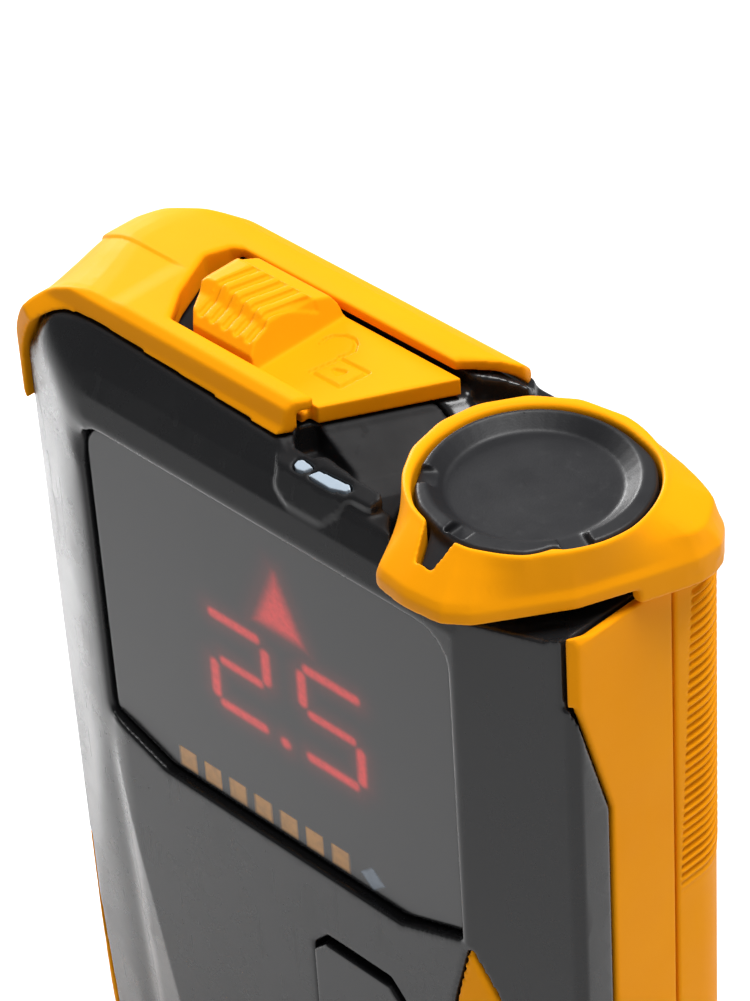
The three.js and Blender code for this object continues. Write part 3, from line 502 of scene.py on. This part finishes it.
def button_fit(co, nr, me):
    """The button fills its opening at the sides and leaves a slot along its top edge."""
    x, y, z = co.T
    cx = 9.65
    x2 = cx + (x - cx) * (1 + 0.2 / 5.75)
    z2 = z - 0.2 * (1 - smoothstep(53.5, 57, z)) - 0.65 * smoothstep(61.0, 63.0, z)
    m = y < -8.9
    return np.stack([np.where(m, x2, x), y, np.where(m, z2, z)], 1)


def cap_form(co, nr, me):
    """Fine step across the top-left shoulder: the front part sits a little lower; the back corner is rounder."""
    x, y, z = co.T
    w = np.clip((-x - 21.5) / 3, 0, 1) * np.clip((y - 3.5) / 2.5, 0, 1) * np.clip((z - 107) / 3, 0, 1)
    co = laplace(co, edges(me), 40, 0.5, w)
    x, y, z = co.T
    step = 0.24 * (1 - smoothstep(-0.18, 0.18, y - 0.15 - np.clip(119.5 - z, 0, 4) * 0.55)) * smoothstep(-20.0, -22.5, x) * smoothstep(109.5, 113, z)
    step = step * smoothstep(-8.6, -6.8, y) * (nr[:, 2] > -0.1)
    return co - nr * step[:, None]


def front_form(co, nr, me):
    """Wide soft blend between the left bevel and the front plane."""
    x, y, z = co.T
    T, R = 5.0, 25.0
    s = np.where(x < -23.7, (-23.7 - x) / 0.93, (x + 23.7) * 1.6)
    d = np.clip(T - s, 0, T) ** 2 / (2 * R)
    m = (y < -10.0) & (nr[:, 1] < -0.5) & (np.abs(x + 23.7) < 6)
    d = d * smoothstep(110.0, 101.0, z) * smoothstep(4.0, 12.0, z)
    co = co + np.stack([0.18 * d * m, 0.98 * d * m, 0 * d], 1)
    x, y, z = co.T
    e = edges(me)
    # even out the bevel, then round the corner where it meets the leaning top
    w = smoothstep(-22.6, -23.6, x) * smoothstep(-32.6, -31.6, x) * smoothstep(-8.6, -9.4, y) * smoothstep(12.5, 15.0, z) * smoothstep(112.5, 110.5, z)
    co = ease(co, e, 70, w)
    w = smoothstep(-21.5, -25.0, x) * smoothstep(-32.9, -31.5, x) * smoothstep(-7.6, -9.0, y) * smoothstep(104.0, 108.0, z) * smoothstep(117.0, 115.0, z)
    return ease(co, e, 170, w)


soften("rear_shell_v", "rear_shell", 0.32, 3, BLACK, 0.14, flat=0.09)
def deck_mark(co, nr):
    """The sloped deck round the knob is moulded with a matt texture."""
    x, y, z = co.T
    behind = smoothstep(1.0, 2.0, y) * smoothstep(5.0, 6.0, x)
    return np.maximum(smoothstep(0.6, 0.75, nr[:, 2]), behind) * smoothstep(112.2, 113.0, z)


soften("front_shell_v", "front_shell", 0.23, 3, BLACK_FRONT, 0.28, flat=0.07, shape=front_form, mark=deck_mark)
soften("top_cap_v", "top_cap", 0.16, 8, YELLOW, 0.3, shape=cap_form,
       cut=[prism([(7.6, 6.0), (10.7, 9.0), (11.5, 10.0), (11.2, 11.0), (10.2, 12.2), (10.2, 20), (20, 20), (20, 6.0)], 100, 130)])
soften("grip_right_front_v", "side_grip_right_front", 0.22, 3, YELLOW, 0.3, flat=0.07)
soften("grip_right_rear_v", "side_grip_right_rear", 0.2, 3, YELLOW, 0.5, shape=ribs, flat=0.07)
soften("grip_left_v", "side_grip_left", 0.26, 3, YELLOW, 0.3, flat=0.07)
soften("bottom_bumper_v", "bottom_bumper", 0.28, 3, YELLOW, 0.25, flat=0.08)
soften("leash_lug_v", "leash_lug", 0.3, 4, BLACK, 0.25)
soften("slide_lock_v", "slide_lock", 0.13, 4, YELLOW_HARD, 0.7, shape=lock_mark)
soften("knob_skirt_v", "knob_skirt", 0.16, 6, YELLOW_HARD, 0.35)
soften("knob_disc_v", "knob_disc", 0.15, 4, BLACK_DISC, 0.3)
soften("option_button_v", "option_button", 0.2, 4, BLACK, 0.3, shape=button_fit)
def lens(co, nr, me):
    """A slight crown on the light windows."""
    up = smoothstep(0.2, 0.7, nr[:, 2])
    return co + np.stack([0 * up, -0.04 * up, 0.10 * up], 1)


soften("status_light_small_v", "status_light_small", 0.07, 2, LIGHT, 0.4, shape=lens)
soften("status_light_large_v", "status_light_large", 0.07, 2, LIGHT, 0.4, shape=lens)
soften("battery_door_v", "battery_door", 0.28, 3, BLACK, 0.25, flat=0.08)


# ------------------------------------------------------------------ display window, with its lit segments
def window():
    bm = node_mesh("display_window")
    ob = temp(bm, "display_window_v")
    m = ob.modifiers.new("r", "REMESH")
    m.mode, m.voxel_size, m.adaptivity = "VOXEL", 0.22 * 1.0, 0.0
    apply_mods(ob)
    me = ob.data
    co = laplace(coords(me), edges(me), 2)
    set_coords(me, co)
    p = co[:, [0, 2]]
    front = co[:, 1] < -11.2
    glow = np.zeros(len(co))
    for a, b, w in SEGMENTS:
        d = capsule(p, a, b)
        glow = np.maximum(glow, 0.95 * (1 - smoothstep(w * 0.3, w * 1.45, d)) + 0.12 * np.exp(-(d / 1.5) ** 2))
    # arrow head
    ax, az, bx0, bx1, bz = ARROW
    t = (az - p[:, 1]) / (az - bz)
    half_l, half_r = (ax - bx0) * t, (bx1 - ax) * t
    inside = np.minimum(np.minimum(p[:, 0] - (ax - half_l), (ax + half_r) - p[:, 0]) * 0.85, p[:, 1] - bz)
    inside = np.minimum(inside, az - p[:, 1])
    glow = np.maximum(glow, smoothstep(-0.7, 0.9, inside) * (0.75 + 0.2 * smoothstep(104, 99, p[:, 1])) + 0.10 * np.exp(-(np.clip(-inside, 0, 9) / 1.4) ** 2))
    glow = np.clip(glow, 0, 1) * front
    a = me.attributes.new("glow", "FLOAT", "POINT")
    a.data.foreach_set("value", glow.astype(np.float32))
    # printed scale marks along the lower edge
    amber, blue = np.zeros(len(co)), np.zeros(len(co))
    for i in range(7):
        x0 = -14.2 + i * 3.36
        q = np.maximum(np.abs(p[:, 0] - x0 - 1.15) - 1.1, np.abs(p[:, 1] - 74.75) - 1.15)
        amber = np.maximum(amber, 1 - smoothstep(-0.14, 0.14, q))
    q = np.abs(p[:, 0] - 11.2) * 0.9 + np.abs(p[:, 1] - 74.7) - 1.35
    blue = 1 - smoothstep(-0.16, 0.16, q)
    for nm, val in (("amber", amber), ("blue", blue)):
        a = me.attributes.new(nm, "FLOAT", "POINT")
        a.data.foreach_set("value", (val * front).astype(np.float32))
    return ob


SEGMENTS = [
    ((-7.6, 95.3), (-2.0, 95.3), 0.55), ((-0.9, 94.0), (-0.9, 91.0), 0.6), ((-6.6, 90.2), (-1.9, 90.2), 0.5),
    ((-7.9, 89.2), (-7.9, 86.0), 0.6), ((-7.0, 85.0), (-1.8, 85.0), 0.55),
    ((0.9, 84.8), (1.0, 84.8), 0.6),
    ((4.5, 95.3), (10.6, 95.3), 0.55), ((3.7, 94.2), (3.7, 91.2), 0.6), ((4.7, 90.2), (9.8, 90.2), 0.5),
    ((10.8, 89.2), (10.8, 86.0), 0.6), ((4.2, 85.0), (9.8, 85.0), 0.55),
]
ARROW = (1.2, 104.3, -1.6, 4.2, 97.8)


def window_material():
    m, nt, b = new_mat("window_smoke")
    v = tex_coord(nt)
    n1 = noise(nt, v, 120, 4)
    n2 = noise(nt, v, 2600, 2)
    col = mix_col(nt, ramp(nt, n1, 0.3, 0.7), (0.012, 0.012, 0.0125), (0.015, 0.015, 0.016))
    worn = ramp(nt, noise(nt, v, 900, 3), 0.3, 0.6, 0.75, 1.0)
    col = mix_col(nt, mathn(nt, "MULTIPLY", attr(nt, "amber"), worn), col, (0.52, 0.235, 0.035))
    col = mix_col(nt, mathn(nt, "MULTIPLY", attr(nt, "blue"), worn), col, (0.15, 0.19, 0.24))
    nt.links.new(col, b.inputs["Base Color"])
    nt.links.new(ramp(nt, n1, 0.3, 0.7, 0.2, 0.26), b.inputs["Roughness"])
    nt.links.new(bump(nt, n2, 1.0, 0.000002), b.inputs["Normal"])
    g = attr(nt, "glow")
    n3 = noise(nt, v, 1500, 2)
    g2 = mathn(nt, "MULTIPLY", g, ramp(nt, n3, 0.25, 0.75, 0.75, 1.1))
    b.inputs["Emission Color"].default_value = (1.0, 0.045, 0.04, 1)
    nt.links.new(mathn(nt, "MULTIPLY", g2, 0.52), b.inputs["Emission Strength"])
    return m


WINDOW = window_material()
finish_piece(window(), ["display_window"], WINDOW, "housing", None)

# ------------------------------------------------------------------ camera, floor, light
scene.view_settings.view_transform = "Standard"
az, el, roll = math.radians(47.5), math.radians(37.5), math.radians(-3.84)
back = Vector((math.sin(az) * math.cos(el), -math.cos(az) * math.cos(el), math.sin(el)))
fwd = -back
right = Vector((math.cos(az), math.sin(az), 0))
up = right.cross(fwd)
r2 = math.cos(roll) * right + math.sin(roll) * up
u2 = -math.sin(roll) * right + math.cos(roll) * up
cam_data = bpy.data.cameras.new("camera")
cam = bpy.data.objects.new("camera", cam_data)
scene.collection.objects.link(cam)
rot = Matrix((r2, u2, back)).transposed()
cam.matrix_world = Matrix.Translation((0.2123018, -0.1923605, 0.3247667)) @ rot.to_4x4()
cam_data.lens = 4110 * 36 / 1001
cam_data.sensor_width = 36
cam_data.clip_start, cam_data.clip_end = 0.01, 20
scene.camera = cam

fm, nt, b = new_mat("floor_pale")
v = tex_coord(nt)
nt.links.new(mix_col(nt, ramp(nt, noise(nt, v, 3, 3), 0.3, 0.7), (0.72, 0.72, 0.72), (0.69, 0.69, 0.695)), b.inputs["Base Color"])
b.inputs["Roughness"].default_value = 0.75
b.inputs["Specular IOR Level"].default_value = 0.2
bpy.ops.mesh.primitive_grid_add(x_subdivisions=8, y_subdivisions=8, size=5)
floor = bpy.context.object
floor.name = "floor"
floor.location.z = -0.00002
floor.data.materials.append(fm)


def area(name, loc, aim, size, power, col=(1, 1, 1)):
    d = bpy.data.lights.new(name, "AREA")
    d.shape, d.size, d.size_y = "RECTANGLE", size[0], size[1]
    d.energy, d.color = power, col
    o = bpy.data.objects.new(name, d)
    scene.collection.objects.link(o)
    o.location = loc
    o.rotation_mode = "QUATERNION"
    o.rotation_quaternion = (Vector(aim) - Vector(loc)).to_track_quat("-Z", "Y")
    return o


area("key", (-0.50, 0.16, 0.27), (-0.06, 0.02, 0.05), (0.22, 0.2), 3.2)
area("top", (0.2, 0.16, 1.15), (0, 0, 0.1), (0.6, 0.6), 18)
spot = area("floor_left", (-0.20, 0.04, 0.17), (-0.15, 0.025, 0.0), (0.08, 0.08), 0.1)
spot.data.spread = math.radians(55)
world = bpy.data.worlds.new("world")
scene.world = world
world.use_nodes = True
bg = world.node_tree.nodes["Background"]
bg.inputs["Color"].default_value = (0.95, 0.97, 1.0, 1)
bg.inputs["Strength"].default_value = 0.2
